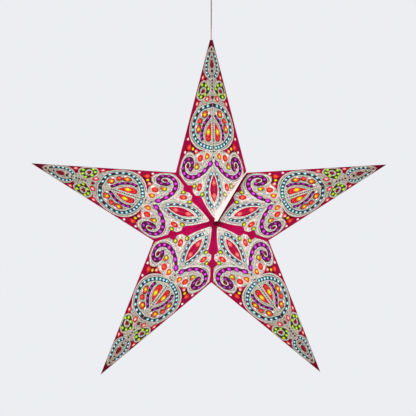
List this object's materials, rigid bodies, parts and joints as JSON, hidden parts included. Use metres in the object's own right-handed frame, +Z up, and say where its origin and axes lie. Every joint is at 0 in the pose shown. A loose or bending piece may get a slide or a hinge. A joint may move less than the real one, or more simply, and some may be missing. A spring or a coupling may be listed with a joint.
{
  "type": "paper star lantern",
  "caption": "Hollow folded paper star with pointed arms, punched and printed with a beaded ornament, lit by a bulb hung inside on its own flex.",
  "frame": {"origin": "centre of the ceiling cup's square rim, in the ceiling face that the lantern hangs from", "axes": "+Z up along the hanging flex, +Y towards the star's back, so the front looks towards -Y and +X is to the viewer's right"},
  "size_m": [0.5992, 0.157, 0.6788],
  "materials": {
    "printed_paper": "handmade magenta paper with silver glitter print",
    "coloured_tissue": "translucent coloured tissue",
    "hook_and_loop": "woven",
    "grip_plastic": "matt",
    "bulb_glass": "frosted",
    "holder_plastic": "matt",
    "flex": "copper-coloured flex",
    "cup_plastic": "matt"
  },
  "bodies": {
    "root": {"point_top": "printed_paper", "lining_top": "coloured_tissue", "point_upper_right": "printed_paper", "lining_upper_right": "coloured_tissue", "point_lower_right": "printed_paper", "lining_lower_right": "coloured_tissue", "point_lower_left": "printed_paper", "lining_lower_left": "coloured_tissue", "point_upper_left": "printed_paper", "lining_upper_left": "coloured_tissue", "closing_dots": "hook_and_loop", "tip_grip": "grip_plastic", "bulb": "bulb_glass", "lampholder": "holder_plastic", "lampholder_cap": "holder_plastic", "lamp_cord": "flex", "ceiling_cup": "cup_plastic", "ceiling_flex_nut": "cup_plastic"}
  },
  "joints": []
}
